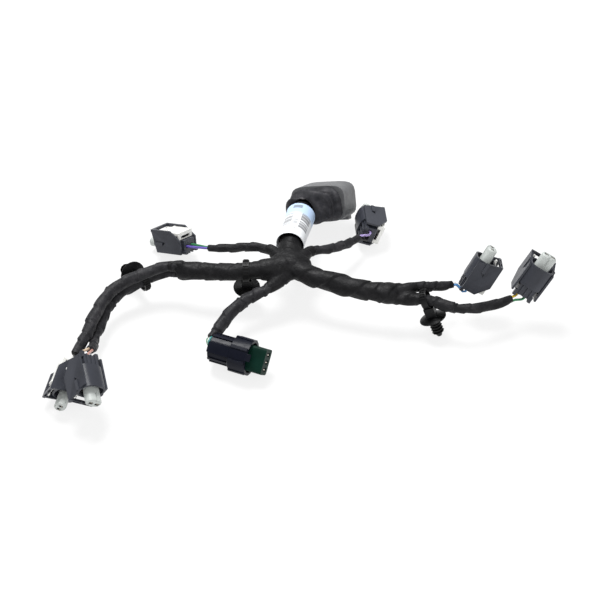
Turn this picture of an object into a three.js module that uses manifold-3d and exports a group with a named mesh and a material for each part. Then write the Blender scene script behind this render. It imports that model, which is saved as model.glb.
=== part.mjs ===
// A taped engine wiring harness with six small two-way plugs, a round sensor plug, a wide main plug
// and three push-in clips, laid out on a flat surface. Millimetres, +Z up. The origin is on that
// surface, under the middle of the outline. +Y is the far side, where the main plug lies.
import * as THREE from 'three';
import { mergeVertices } from 'three/addons/utils/BufferGeometryUtils.js';
import { ConvexGeometry } from 'three/addons/geometries/ConvexGeometry.js';
import Module from 'manifold-3d';

// Gaps between pieces
const GAP = 0.35;                 // between pieces that touch on the real harness
const LOCK_PLAY = 0.4;            // round a slide lock
const CUT = 1;                    // how far a cutting shape runs past the face it opens

// Two-way plug: x runs out of the nose, y across, z to the side that carries the slide lock
const GUARD_WIDTH = 21.5;         // over the two side guards
const GUARD_PROUD = 0.5;          // how far a guard stands out past the sleeve
const SLEEVE_WIDTH = GUARD_WIDTH - 2 * GUARD_PROUD;
const SLEEVE_HEIGHT = 17;
const SLEEVE_LENGTH = 18;
const SLEEVE_WALL = 1.5;
const SLEEVE_DEPTH = 12;          // open depth behind the mouth
const GUARD_THICKNESS = 1.6;
const GUARD_TOP = 13;             // height of the guards above the nose axis
const GUARD_BOTTOM = -6;
const GUARD_FRONT = 3;            // how far the guards stand ahead of the mouth
const GUARD_FRONT_SLOPE = 4.5;    // how far the guards' front edge runs back towards the bottom
const GUARD_TOP_LENGTH = 19;
const GUARD_CHAMFER_LENGTH = 10;
const GUARD_CHAMFER_DROP = 8;
const BAR_SIZE = 2.2;             // square section of the bar that joins the guards
const BAR_POCKET_WIDTH = 6.5;
const BAR_POCKET_DEPTH = 1.2;
const BAR_WEB = 0.5;
const SIDE_RIB_LENGTH = 8;
const SIDE_RIB_WIDTH = 2.6;
const SIDE_RIB_PROUD = 0.8;
const SIDE_RIB_HEIGHT = 1.6;      // height of the side rib's middle above the nose axis
const NOTCH_SIZE = 3;
const NOTCH_DEPTH = 0.9;
const REAR_LENGTH = 9;
const REAR_WIDTH = 13.5;
const REAR_HEIGHT = 11;
const REAR_DROP = 0.5;            // how far the rear block's middle lies under the nose axis
const CAVITY_DIAMETER = 3.4;
const CAVITY_DEPTH = 5;
const CAVITY_PITCH = 6.2;
const LUG_LENGTH = 2.4;
const LUG_SIZE = 2.6;
const RIB_COUNT = 3;
const RIB_PITCH = 4;
const RIB_SIZE = 1;

const NOSE_WIDTH = 0.7 * (SLEEVE_WIDTH - 2 * SLEEVE_WALL);
const NOSE_HEIGHT = 8.3;
const NOSE_REACH = 10;            // how far the nose stands out of the mouth
const NOSE_TAPER = 0.9;
const GROOVE_START = 2;
const GROOVE_WIDTH = 1.2;
const GROOVE_DEPTH = 0.7;
const CONTACT_WIDTH = 0.3 * NOSE_WIDTH;
const CONTACT_HEIGHT = 2.6;
const CONTACT_DEPTH = 5;
const CONTACT_PITCH = 0.44 * NOSE_WIDTH;
const SEAL_LENGTH = 6;
const SEAL_THICKNESS = 1.6;

const LOCK_LENGTH = 22.6;
const LOCK_PLATE = 1.5;
const LOCK_STEP = 1;              // how far the thick rear part stands above the plate
const LOCK_RIDGE_HEIGHT = 3.2;
const LOCK_RIDGE_LENGTH = 3.4;
const LOCK_RIDGE_BACK = 5;        // from the plate's front edge to the ridge
const LOCK_FRONT = -1.4;          // the plate's front edge at rest, the open position
const LOCK_ARM_LENGTH = 2.6;
const LOCK_ARM_WIDTH = 2.4;
const LOCK_HUMP_WIDTH = 6.4;
const LOCK_SKIRT = 1.4;           // thickness of the wall that hangs down at the rear
const LOCK_SLOT_WIDTH = 11;
const LOCK_SLOT_HEIGHT = 2.2;
const LOCK_SLOT_WEB = 0.5;

// Round sensor plug: x runs out of its front
const BARREL_DIAMETER = 20.5;
const BARREL_LENGTH = 17.5;
const BARREL_RIBS = 10;
const BARREL_RIB_PROUD = 0.9;
const BARREL_RIB_WIDTH = 2.4;
const COLLAR_DIAMETER = 27;
const COLLAR_LENGTH = 14.5;
const COLLAR_WALL = 2;
const COLLAR_DEPTH = 11;
const INSERT_WIDTH = 19.5;
const INSERT_HEIGHT = 13.5;
const INSERT_REACH = 12;
const INSERT_SLOTS = 3;
const INSERT_SLOT_WIDTH = 3;
const INSERT_SLOT_HEIGHT = 6;
const INSERT_SLOT_PITCH = 5.6;
const INSERT_SLOT_DEPTH = 5;
const THUMB_WIDTH = 8;
const THUMB_HEIGHT = 2.4;
const COLLAR_CHAMFER = 0.7;
const COLLAR_RIBS = 8;
const COLLAR_RIB_PROUD = 0.7;
const KEY_WIDTH = 5.5;
const KEY_REACH = 3.2;
const PORT_RADIUS = 4.6;          // the opening at the rear where the wires go in
const PORT_DEPTH = 5;
const SENSOR_WIRE_PITCH = 3;
const SENSOR_WIRE_START_PITCH = 2.4;
const SENSOR_WIRE_TURN = Math.PI / 3;  // direction of the row the three wires stand in

// Main plug: x runs out of its mouth
const MAIN_WIDTH = 47;
const MAIN_HEIGHT = 30;
const MAIN_DEPTH = 27;
const MAIN_WALL = 2;
const MAIN_SQUARENESS = 4.5;      // superellipse power of the outline
const MAIN_REAR_WALL = 4;
const BLOCK_DEPTH = 11;
const BLOCK_ROWS = 2;
const BLOCK_COLUMNS = 7;
const BLOCK_POCKET = 2.6;
const BLOCK_PITCH = 4.6;
const TAB_LENGTH = 7;
const TAB_WIDTH = 8;
const TAB_THICKNESS = 2;
const BLOCK_ROW_PITCH = 8;
const BLOCK_POCKET_DEPTH = 6;
const TAB_AT = 14;                // from the middle to the tab's middle
const BOOT_LENGTH = 15;
const BOOT_SHRINK = 4;            // how much narrower than the shell the boot is
const BOOT_NECK = 24;
const BOOT_OFFSET = 11;          // where the boot's neck lies behind the shell
const BOOT_DROP = 3.3;

// Looms and wires
const LOOM_SIDES = 10;
const JUNCTION_SIDES = 12;
const LABEL_SIDES = 16;
const WIRE_SIDES = 8;
const WIRE_DIAMETER = 2;
const WIRE_PITCH = 2.9;           // between two wires where they leave the tape
const WIRE_STRAIGHT = 2;          // how far a wire runs straight out of the tape
const WIRE_LEAD = 3.5;            // how far it runs straight behind a plug
const SENSOR_WIRE_LEAD = 2.4;
const LEFT_TRUNK_DIAMETER = 13.4;
const LEFT_SHOULDER_DIAMETER = 19.5;
const RIGHT_TRUNK_DIAMETER = 14;
const STUB_DIAMETER = 16;
const JUNCTION_SIZE = [36, 25, 21];
const JUNCTION_AT = [-9, 1, 34.5];
const LABEL_DIAMETER = 22.6;
const LABEL_WALL = 0.9;
const STUB_END_DIAMETER = LABEL_DIAMETER - 2 * LABEL_WALL - 2 * GAP;

// Push-in clips: x runs down the stud, the strap's ring turns about y
const STRAP_WIDTH = 5;
const STRAP_THICKNESS = 1.3;
const STRAP_TEETH = 9;
const STRAP_TOOTH_PROUD = 0.45;
const STRAP_TOOTH_WIDTH = 0.6;
const STRAP_TOOTH_TURN = 14;      // degrees from tooth to tooth
const HEAD_LENGTH = 7.4;
const HEAD_WIDTH = 8;
const HEAD_HEIGHT = 7;
const DISC_DIAMETER = 21;
const DISC_THICKNESS = 1.4;
const DISC_DISH = 2;
const STUD_DIAMETER = 9.6;
const STUD_CORE = 6.6;
const STUD_LENGTH = 18.3;
const STUD_RIBS = 6;
const STUD_TIP = 3.5;

// How many sides the round and oval shapes have
const OVAL_SIDES = 20;
const NOSE_SIDES = 16;
const BARREL_SIDES = 24;
const MAIN_SIDES = 24;
const STRAP_SIDES = 20;
const STUD_SIDES = 10;

// Finishes
const FINISHES = {
  housing: { color: 0x3b3e4a, roughness: 0.45 },
  nose: { color: 0xc9cdc8, roughness: 0.5 },
  lock: { color: 0xeeeeea, roughness: 0.45 },
  seal: { color: 0x6e3a2c, roughness: 0.6 },
  black: { color: 0x191a1c, roughness: 0.5 },
  gloss: { color: 0x14161c, roughness: 0.3 },
  insert: { color: 0x12402f, roughness: 0.4 },
  shell: { color: 0x5c5e60, roughness: 0.55 },
  tape: { color: 0x242424, roughness: 0.8 },
  label: { color: 0xf2f4f6, roughness: 0.5 },
};
const WIRE_COLOURS = {
  green: 0x2e7d46, violet: 0x6b58a8, lilac: 0xa493c8, black: 0x1d1d1f, beige: 0xcdb899,
  pink: 0xb88680, blue: 0x3479b8, white: 0xe6e6e2, yellow: 0xd9b420, teal: 0x1f8a80,
};

// Routes of the taped looms, from the junction outwards. Each leg starts inside the loom it leaves.
const LEFT_TRUNK = [[-8, 0, 35], [-24, -4.5, 35], [-37.5, -6, 35], [-53, -6, 34], [-68.5, -4, 32.5],
  [-84.5, -1.5, 31], [-95.5, 0.5, 30]];
const LEFT_SHOULDER = [[-12, -1.5, 35], [-22, -4, 35], [-31, -5.4, 35]];
const RIGHT_TRUNK = [[-9, -1, 35], [8.5, -11, 34], [22, -16.5, 33], [33.5, -20.5, 32], [46.5, -24, 31.5],
  [60, -26.5, 31], [69, -27.8, 30.5], [77, -28.8, 30.4]];
const MAIN_STUB = [[-8, 2, 35], [-8.5, 15, 34.5], [-8.5, 27, 34], [-5.9, 43, 32.2], [-4.4, 52, 31]];
const STUB_END = [[-5.3, 46, 31.9], [-2, 63.5, 29.5], [0.6, 78, 27.3], [2.4, 84, 26.3]];
const LABEL_ROUTE = [[-8.5, 27, 34], [-5.5, 45, 32], [-2, 63.5, 29.5], [-0.9, 70, 28.6]];

const LEGS = [
  { name: 'rear_left_leg', diameter: 6.8, steps: 10,
    route: [[-13, 4.5, 35], [-18, 14, 33.5], [-24.5, 23, 32], [-31, 28, 30.5], [-43, 31.5, 28],
      [-55, 34, 25.5], [-66.5, 36.5, 23], [-74, 39.2, 21.4]] },
  { name: 'rear_right_leg', diameter: 6.6, steps: 9,
    route: [[-2.5, 5, 35], [5.5, 19.5, 32], [15, 26.5, 29], [27, 35, 25], [37.5, 46, 20.5],
      [45.5, 56, 17], [47, 58.2, 16.3]] },
  { name: 'sensor_leg', diameter: 7.6, steps: 10,
    route: [[-9, -3, 34], [-16, -12, 31], [-25.5, -18.5, 28], [-35, -23.5, 25.5], [-45, -29, 23],
      [-52.5, -37.5, 20.5], [-58, -45.5, 18.5], [-63, -54, 17], [-67.6, -60.6, 15.7]] },
  { name: 'front_outer_leg', diameter: 8, steps: 14,
    route: [[-91, 0.5, 34.3], [-101.5, 1.5, 33.2], [-112, 1, 31], [-121, -2.5, 29.8], [-132, -8, 27.7],
      [-143.5, -16.5, 25.8], [-151, -29, 24], [-156, -45.5, 22.5], [-159.5, -61.5, 21],
      [-163.6, -76.5, 20], [-166, -83.5, 19.6]] },
  { name: 'front_inner_leg', diameter: 7, steps: 14,
    route: [[-91, 3.3, 26.6], [-101.5, 4.3, 25.2], [-112, 4, 22.3], [-120.5, 1.9, 19.6], [-130.5, -5, 18.9],
      [-140.9, -13.1, 17.6], [-147.6, -24.7, 16], [-151.9, -40.7, 14.6], [-154.6, -57, 13.7],
      [-154.6, -65, 14.6], [-153.4, -74, 18.6], [-152.8, -83, 25.5], [-152.6, -90.5, 31.2]] },
  { name: 'right_inner_leg', diameter: 6.8, steps: 8,
    route: [[66, -26, 32.4], [75, -25.6, 32.6], [84, -22.8, 32.5], [99.5, -19.5, 30.5], [110, -16.4, 29],
      [116.5, -14.2, 28.4]] },
  { name: 'right_outer_leg', diameter: 7.2, steps: 12,
    route: [[68, -29, 28.6], [76, -30.8, 27.9], [85, -32.9, 29.8], [94, -34.6, 30.5], [105, -37.2, 29.2],
      [116, -41, 27.5], [127, -41, 27], [140, -38, 26.5], [149.5, -34.5, 26.5], [156, -31.5, 26.8],
      [160, -29.9, 27]] },
];

// The front pair of plugs: how far apart their rears are, and in which direction
const FRONT_PAIR_PITCH = 1.16 * GUARD_WIDTH;
const FRONT_PAIR_DIRECTION = new THREE.Vector3(10.0, -14.1, 18.0).normalize();
const FRONT_OUTER_REAR = [-164.2, -93.1, 19.4];
const FRONT_INNER_REAR = new THREE.Vector3(...FRONT_OUTER_REAR)
  .addScaledVector(FRONT_PAIR_DIRECTION, FRONT_PAIR_PITCH).toArray();

// The six two-way plugs: middle of the rear, nose direction, slide lock direction, leg and wires
const PLUGS = [
  { name: 'rear_left_plug', rear: [-90.4, 49.9, 15.9], nose: [-0.84, 0.48, -0.26], lock: [-0.07, 0.38, 0.92],
    leg: 'rear_left_leg', wires: ['green', 'violet'] },
  { name: 'rear_right_plug', rear: [55.6, 63.1, 15.6], nose: [-0.06, 0.998, -0.03], lock: [0.94, 0.05, -0.35],
    leg: 'rear_right_leg', wires: ['lilac', 'black'] },
  { name: 'front_outer_plug', rear: FRONT_OUTER_REAR, nose: [-0.23, -0.93, -0.3], lock: [-0.87, 0.06, 0.49],
    leg: 'front_outer_leg', wires: ['black', 'white'] },
  { name: 'front_inner_plug', rear: FRONT_INNER_REAR, nose: [0.25, -0.91, -0.3], lock: [-0.72, 0.03, -0.69],
    leg: 'front_inner_leg', wires: ['beige', 'pink'] },
  { name: 'right_inner_plug', rear: [127.5, -16.7, 27.3], nose: [0.48, 0.25, 0.84], lock: [0.88, -0.21, -0.43],
    leg: 'right_inner_leg', wires: ['blue', 'white'] },
  { name: 'right_outer_plug', rear: [169.0, -23.8, 27.8], nose: [0.49, 0.16, 0.86], lock: [0.13, 0.96, -0.25],
    leg: 'right_outer_leg', wires: ['yellow', 'green'] },
];
const SENSOR_PLUG = { at: [-36.5, -81.3, 13.8], nose: [0.92, -0.39, 0], up: [-0.285, -0.67, 0.686] };
const SENSOR_WIRES = ['green', 'white', 'teal'];
const MAIN_PLUG = { at: [14.1, 87.8, 28.5], nose: [0.37, 0.825, -0.425], up: [-0.09, 0.5, 0.86] };

// The three clips: middle of the strap's ring, stud direction, leg direction, leg diameter and slack
const CLIPS = [
  { name: 'left_clip', at: [-123.3, 1.7, 18], stud: [-0.57, 0.79, -0.24], along: [-0.95, -0.27, -0.15],
    around: 7, slack: 2.4 },
  { name: 'middle_clip', at: [-42.3, -6.3, 34.8], stud: [0, 0.16, -0.99], along: [-1, 0, 0],
    around: LEFT_TRUNK_DIAMETER, slack: 0.5 },
  { name: 'right_clip', at: [94, -34.6, 31.05], stud: [0.37, -0.22, -0.9], along: [0.98, -0.2, 0],
    around: 7.2, slack: 2.4 },
];

const wasm = await Module();
wasm.setup();

// Turning a shape drawn in its own plane so that it is extruded along x, or along y
const ALONG_X = new THREE.Matrix4().makeBasis(
  new THREE.Vector3(0, 1, 0), new THREE.Vector3(0, 0, 1), new THREE.Vector3(1, 0, 0));
const ALONG_Y = new THREE.Matrix4().makeBasis(
  new THREE.Vector3(1, 0, 0), new THREE.Vector3(0, 0, 1), new THREE.Vector3(0, -1, 0));

function solid(geometry) {
  const plain = geometry.clone();
  plain.deleteAttribute('normal');
  plain.deleteAttribute('uv');
  const merged = mergeVertices(plain);
  const vertProperties = new Float32Array(merged.attributes.position.array);
  const triVerts = new Uint32Array(merged.index.array);
  return new wasm.Manifold(new wasm.Mesh({ numProp: 3, vertProperties, triVerts }));
}

function pieceMesh(name, body, finish) {
  const { vertProperties, triVerts } = body.getMesh();
  const geometry = new THREE.BufferGeometry();
  geometry.setAttribute('position', new THREE.BufferAttribute(vertProperties, 3));
  geometry.setIndex(new THREE.BufferAttribute(triVerts, 1));
  geometry.computeVertexNormals();
  const mesh = new THREE.Mesh(geometry, new THREE.MeshStandardMaterial(finish));
  mesh.name = name;
  return mesh;
}

function boxGeometry(x0, x1, y0, y1, z0, z1) {
  const geometry = new THREE.BoxGeometry(x1 - x0, y1 - y0, z1 - z0);
  geometry.translate((x0 + x1) / 2, (y0 + y1) / 2, (z0 + z1) / 2);
  return geometry;
}

function block(...sides) {
  return solid(boxGeometry(...sides));
}

// A rounded oval: a superellipse, between an ellipse and a rectangle
function ovalPoints(width, height, count, squareness = 2.6) {
  const power = 2 / squareness;
  const points = [];
  for (let i = 0; i < count; i += 1) {
    const angle = 2 * Math.PI * (i + 0.5) / count;
    const c = Math.cos(angle);
    const s = Math.sin(angle);
    points.push(new THREE.Vector2(
      width / 2 * Math.sign(c) * Math.abs(c) ** power,
      height / 2 * Math.sign(s) * Math.abs(s) ** power));
  }
  return points;
}

function prismX(points, x0, x1) {
  const geometry = new THREE.ExtrudeGeometry(
    new THREE.Shape(points), { depth: x1 - x0, bevelEnabled: false });
  geometry.applyMatrix4(ALONG_X);
  geometry.translate(x0, 0, 0);
  return solid(geometry);
}

// A profile of [x, z] corners, as thick as y0 to y1
function prismY(corners, y0, y1) {
  const shape = new THREE.Shape(corners.map(([x, z]) => new THREE.Vector2(x, z)));
  const geometry = new THREE.ExtrudeGeometry(shape, { depth: y1 - y0, bevelEnabled: false });
  geometry.applyMatrix4(ALONG_Y);
  geometry.translate(0, y1, 0);
  return solid(geometry);
}

// A profile of [x, radius] corners that starts and ends on the axis, turned about x
function turnedX(corners, segments) {
  const geometry = new THREE.LatheGeometry(
    corners.map(([x, radius]) => new THREE.Vector2(radius, x)), segments);
  geometry.rotateZ(-Math.PI / 2);
  return solid(geometry);
}

function circlePoints(diameter, sides) {
  return ovalPoints(diameter, diameter, sides, 2);
}

// The hull of rings of [x, y, z] points
function hull(rings) {
  const points = rings.flat().map(([x, y, z]) => new THREE.Vector3(x, y, z));
  return solid(new ConvexGeometry(points));
}

function ringAt(x, points, y = 0, z = 0) {
  return points.map((p) => [x, p.x + y, p.y + z]);
}

function vector(list) {
  return new THREE.Vector3(...list);
}

function tube(points, diameter, steps, sides = LOOM_SIDES) {
  const path = new THREE.CatmullRomCurve3(points.map(vector), false, 'centripetal');
  const geometry = new THREE.ExtrudeGeometry(new THREE.Shape(circlePoints(diameter, sides)), {
    steps,
    extrudePath: path,
    bevelEnabled: false,
  });
  return solid(geometry);
}

function lengthened(points, extra) {
  const start = vector(points[0]);
  const end = vector(points.at(-1));
  const startStep = start.clone().sub(vector(points[1])).setLength(extra);
  const endStep = end.clone().sub(vector(points.at(-2))).setLength(extra);
  return [start.add(startStep).toArray(), ...points.slice(1, -1), end.add(endStep).toArray()];
}

// A frame whose x runs along one direction and whose z leans to the other
function frameOf(at, forward, up) {
  const x = vector(forward).normalize();
  const y = vector(up).cross(x).normalize();
  const z = x.clone().cross(y);
  return new THREE.Matrix4().makeBasis(x, y, z).setPosition(...at);
}

function placedGroup(frame, pieces) {
  const group = new THREE.Group();
  group.applyMatrix4(frame);
  group.add(...pieces);
  return group;
}

// Two-way plug
const MOUTH_WIDTH = SLEEVE_WIDTH - 2 * SLEEVE_WALL;
const MOUTH_HEIGHT = SLEEVE_HEIGHT - 2 * SLEEVE_WALL;
const GUARD_INSIDE = GUARD_WIDTH / 2 - GUARD_THICKNESS;
const PLUG_REAR = -SLEEVE_LENGTH - REAR_LENGTH;

function mouthOf(plug) {
  const nose = vector(plug.nose).normalize();
  return vector(plug.rear).addScaledVector(nose, -PLUG_REAR).toArray();
}

function plugGuard(side) {
  const rear = GUARD_FRONT - GUARD_TOP_LENGTH - GUARD_CHAMFER_LENGTH;
  const corners = [
    [GUARD_FRONT, GUARD_TOP],
    [GUARD_FRONT - GUARD_TOP_LENGTH, GUARD_TOP],
    [rear, GUARD_TOP - GUARD_CHAMFER_DROP],
    [rear, GUARD_BOTTOM],
    [GUARD_FRONT - GUARD_FRONT_SLOPE, GUARD_BOTTOM],
  ];
  const outside = side * GUARD_WIDTH / 2;
  const inside = side * GUARD_INSIDE;
  return prismY(corners, Math.min(outside, inside), Math.max(outside, inside));
}

function plugSideRib(side) {
  const outside = side * (GUARD_WIDTH / 2 + SIDE_RIB_PROUD);
  const inside = side * GUARD_INSIDE;
  return block(-SIDE_RIB_LENGTH, 0, Math.min(outside, inside), Math.max(outside, inside),
    SIDE_RIB_HEIGHT - SIDE_RIB_WIDTH / 2, SIDE_RIB_HEIGHT + SIDE_RIB_WIDTH / 2);
}

function plugNotch(side) {
  const corners = [
    [-SIDE_RIB_LENGTH, SIDE_RIB_HEIGHT - NOTCH_SIZE / 2],
    [-SIDE_RIB_LENGTH, SIDE_RIB_HEIGHT + NOTCH_SIZE / 2],
    [-SIDE_RIB_LENGTH - NOTCH_SIZE, SIDE_RIB_HEIGHT + NOTCH_SIZE / 2],
  ];
  const outside = side * (GUARD_WIDTH / 2 + CUT);
  const inside = side * (GUARD_WIDTH / 2 - NOTCH_DEPTH);
  return prismY(corners, Math.min(outside, inside), Math.max(outside, inside));
}

function plugRear() {
  const top = REAR_HEIGHT / 2 - REAR_DROP;
  const bottom = top - REAR_HEIGHT;
  let body = block(PLUG_REAR, -SLEEVE_LENGTH + CUT, -REAR_WIDTH / 2, REAR_WIDTH / 2, bottom, top);
  for (let i = 0; i < RIB_COUNT; i += 1) {
    const y = (i - (RIB_COUNT - 1) / 2) * RIB_PITCH;
    body = body.add(block(PLUG_REAR, -SLEEVE_LENGTH + CUT, y - RIB_SIZE / 2, y + RIB_SIZE / 2,
      bottom - RIB_SIZE, bottom + CUT));
  }
  for (const side of [-1, 1]) {
    const y = side * (REAR_WIDTH / 2 - LUG_SIZE / 2 + RIB_SIZE);
    body = body.add(block(PLUG_REAR - LUG_LENGTH, PLUG_REAR + LUG_SIZE, y - LUG_SIZE / 2,
      y + LUG_SIZE / 2, bottom, bottom + LUG_SIZE));
  }
  return body;
}

function plugCavity(side) {
  const points = circlePoints(CAVITY_DIAMETER, WIRE_SIDES);
  const moved = points.map((p) => new THREE.Vector2(p.x + side * CAVITY_PITCH / 2, p.y - REAR_DROP));
  return prismX(moved, PLUG_REAR - CUT, PLUG_REAR + CAVITY_DEPTH);
}

function plugBar() {
  let bar = block(GUARD_FRONT - BAR_SIZE, GUARD_FRONT, -GUARD_WIDTH / 2, GUARD_WIDTH / 2,
    GUARD_TOP - BAR_SIZE, GUARD_TOP);
  for (const side of [-1, 1]) {
    const y = side * (BAR_POCKET_WIDTH / 2 + BAR_SIZE / 2);
    bar = bar.subtract(block(GUARD_FRONT - BAR_POCKET_DEPTH, GUARD_FRONT + CUT, y - BAR_POCKET_WIDTH / 2,
      y + BAR_POCKET_WIDTH / 2, GUARD_TOP - BAR_SIZE + BAR_WEB, GUARD_TOP - BAR_WEB));
  }
  return bar;
}

function plugHousing(name) {
  const sleeve = prismX(ovalPoints(SLEEVE_WIDTH, SLEEVE_HEIGHT, OVAL_SIDES), -SLEEVE_LENGTH, 0);
  const mouth = prismX(ovalPoints(MOUTH_WIDTH, MOUTH_HEIGHT, OVAL_SIDES), -SLEEVE_DEPTH, CUT);
  let body = sleeve.add(plugRear()).add(plugBar());
  for (const side of [-1, 1]) {
    body = body.add(plugGuard(side)).add(plugSideRib(side));
  }
  body = body.subtract(mouth);
  for (const side of [-1, 1]) {
    body = body.subtract(plugNotch(side)).subtract(plugCavity(side));
  }
  return pieceMesh(`${name}_housing`, body, FINISHES.housing);
}

function plugNose(name) {
  const full = ovalPoints(NOSE_WIDTH, NOSE_HEIGHT, NOSE_SIDES);
  const tip = ovalPoints(NOSE_WIDTH - 2 * NOSE_TAPER, NOSE_HEIGHT - 2 * NOSE_TAPER, NOSE_SIDES);
  let body = hull([
    ringAt(-SLEEVE_DEPTH + GAP, full), ringAt(NOSE_REACH - NOSE_TAPER, full), ringAt(NOSE_REACH, tip),
  ]);
  for (const side of [-1, 1]) {
    const y = side * CONTACT_PITCH / 2;
    body = body.subtract(block(NOSE_REACH - CONTACT_DEPTH, NOSE_REACH + CUT, y - CONTACT_WIDTH / 2,
      y + CONTACT_WIDTH / 2, -CONTACT_HEIGHT / 2, CONTACT_HEIGHT / 2));
    const groove = side * (NOSE_HEIGHT / 2);
    body = body.subtract(block(GROOVE_START, NOSE_REACH + CUT, -GROOVE_WIDTH / 2, GROOVE_WIDTH / 2,
      groove - GROOVE_DEPTH, groove + GROOVE_DEPTH));
  }
  return pieceMesh(`${name}_nose`, body, FINISHES.nose);
}

function plugSeal(name) {
  const outside = ovalPoints(NOSE_WIDTH + 2 * (GAP + SEAL_THICKNESS),
    NOSE_HEIGHT + 2 * (GAP + SEAL_THICKNESS), NOSE_SIDES);
  const inside = ovalPoints(NOSE_WIDTH + 2 * GAP, NOSE_HEIGHT + 2 * GAP, NOSE_SIDES);
  const rear = -SLEEVE_DEPTH + GAP;
  const ring = prismX(outside, rear, rear + SEAL_LENGTH).subtract(
    prismX(inside, rear - CUT, rear + SEAL_LENGTH + CUT));
  return pieceMesh(`${name}_seal`, ring, FINISHES.seal);
}

function plugLock(name) {
  const half = GUARD_INSIDE - LOCK_PLAY;
  const bottom = SLEEVE_HEIGHT / 2 + LOCK_PLAY;
  const top = bottom + LOCK_PLATE;
  const rear = LOCK_FRONT - LOCK_LENGTH;
  const ridge = LOCK_FRONT - LOCK_RIDGE_BACK;
  let body = block(rear, LOCK_FRONT, -half, half, bottom, top);
  body = body.add(block(rear, ridge, -half, half, bottom, top + LOCK_STEP));
  for (const side of [-1, 1]) {
    const y = side * half / 2;
    body = body.add(hull([
      ridgeEnd(ridge, y - LOCK_HUMP_WIDTH / 2, bottom), ridgeEnd(ridge, y + LOCK_HUMP_WIDTH / 2, bottom),
    ]));
    const arm = side * (half - LOCK_ARM_WIDTH / 2);
    body = body.add(block(LOCK_FRONT - CUT, LOCK_FRONT + LOCK_ARM_LENGTH, arm - LOCK_ARM_WIDTH / 2,
      arm + LOCK_ARM_WIDTH / 2, bottom, top));
  }
  const skirtBottom = REAR_HEIGHT / 2 - REAR_DROP + LOCK_PLAY;
  body = body.add(block(rear, rear + LOCK_SKIRT, -half, half, skirtBottom, bottom + LOCK_PLATE));
  const slotTop = bottom - LOCK_SLOT_WEB;
  body = body.subtract(block(rear - CUT, rear + LOCK_SKIRT + CUT, -LOCK_SLOT_WIDTH / 2,
    LOCK_SLOT_WIDTH / 2, slotTop - LOCK_SLOT_HEIGHT, slotTop));
  return pieceMesh(`${name}_slide_lock`, body, FINISHES.lock);
}

function ridgeEnd(x, y, bottom) {
  return [
    [x - LOCK_RIDGE_LENGTH, y, bottom], [x, y, bottom],
    [x - LOCK_RIDGE_LENGTH * 0.25, y, bottom + LOCK_RIDGE_HEIGHT],
    [x - LOCK_RIDGE_LENGTH * 0.75, y, bottom + LOCK_RIDGE_HEIGHT],
  ];
}

// Round sensor plug
const INSERT_ROOT = -COLLAR_DEPTH + GAP;
const SENSOR_REAR = -COLLAR_LENGTH - BARREL_LENGTH;

function sensorHousing() {
  const barrel = BARREL_DIAMETER / 2;
  const collar = COLLAR_DIAMETER / 2;
  const neck = -COLLAR_LENGTH;
  let body = turnedX([
    [SENSOR_REAR, 0], [SENSOR_REAR, barrel - COLLAR_CHAMFER], [SENSOR_REAR + COLLAR_CHAMFER, barrel],
    [neck, barrel], [neck, collar - COLLAR_CHAMFER], [neck + COLLAR_CHAMFER, collar], [0, collar], [0, 0],
  ], BARREL_SIDES);
  for (let i = 0; i < BARREL_RIBS; i += 1) {
    const rib = boxGeometry(SENSOR_REAR + COLLAR_CHAMFER, neck + CUT, -BARREL_RIB_WIDTH / 2,
      BARREL_RIB_WIDTH / 2, barrel - CUT, barrel + BARREL_RIB_PROUD);
    body = body.add(solid(rib.rotateX(2 * Math.PI * (i + 0.5) / BARREL_RIBS)));
  }
  for (let i = 0; i < COLLAR_RIBS; i += 1) {
    const rib = boxGeometry(neck + COLLAR_CHAMFER, -COLLAR_CHAMFER, -BARREL_RIB_WIDTH / 2,
      BARREL_RIB_WIDTH / 2, collar - CUT, collar + COLLAR_RIB_PROUD);
    body = body.add(solid(rib.rotateX(2 * Math.PI * (i + 0.5) / COLLAR_RIBS)));
  }
  body = body.add(block(SENSOR_REAR + COLLAR_CHAMFER, neck + CUT, -THUMB_WIDTH / 2, THUMB_WIDTH / 2,
    0, barrel + THUMB_HEIGHT));
  body = body.add(block(-COLLAR_CHAMFER, KEY_REACH, -KEY_WIDTH / 2, KEY_WIDTH / 2,
    collar - COLLAR_WALL, collar));
  const bore = turnedX([
    [-COLLAR_DEPTH, 0], [-COLLAR_DEPTH, collar - COLLAR_WALL], [CUT, collar - COLLAR_WALL], [CUT, 0],
  ], BARREL_SIDES);
  const wirePort = turnedX([
    [SENSOR_REAR - CUT, 0], [SENSOR_REAR - CUT, PORT_RADIUS], [SENSOR_REAR + PORT_DEPTH, PORT_RADIUS],
    [SENSOR_REAR + PORT_DEPTH, 0],
  ], BARREL_SIDES);
  return pieceMesh('sensor_plug_housing', body.subtract(bore).subtract(wirePort), FINISHES.gloss);
}

function sensorInsert() {
  let body = prismX(ovalPoints(INSERT_WIDTH, INSERT_HEIGHT, OVAL_SIDES, 8), INSERT_ROOT, INSERT_REACH);
  for (let i = 0; i < INSERT_SLOTS; i += 1) {
    const y = (i - (INSERT_SLOTS - 1) / 2) * INSERT_SLOT_PITCH;
    body = body.subtract(block(INSERT_REACH - INSERT_SLOT_DEPTH, INSERT_REACH + CUT,
      y - INSERT_SLOT_WIDTH / 2, y + INSERT_SLOT_WIDTH / 2, -INSERT_SLOT_HEIGHT / 2, INSERT_SLOT_HEIGHT / 2));
  }
  return pieceMesh('sensor_plug_contact_carrier', body, FINISHES.insert);
}

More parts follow.
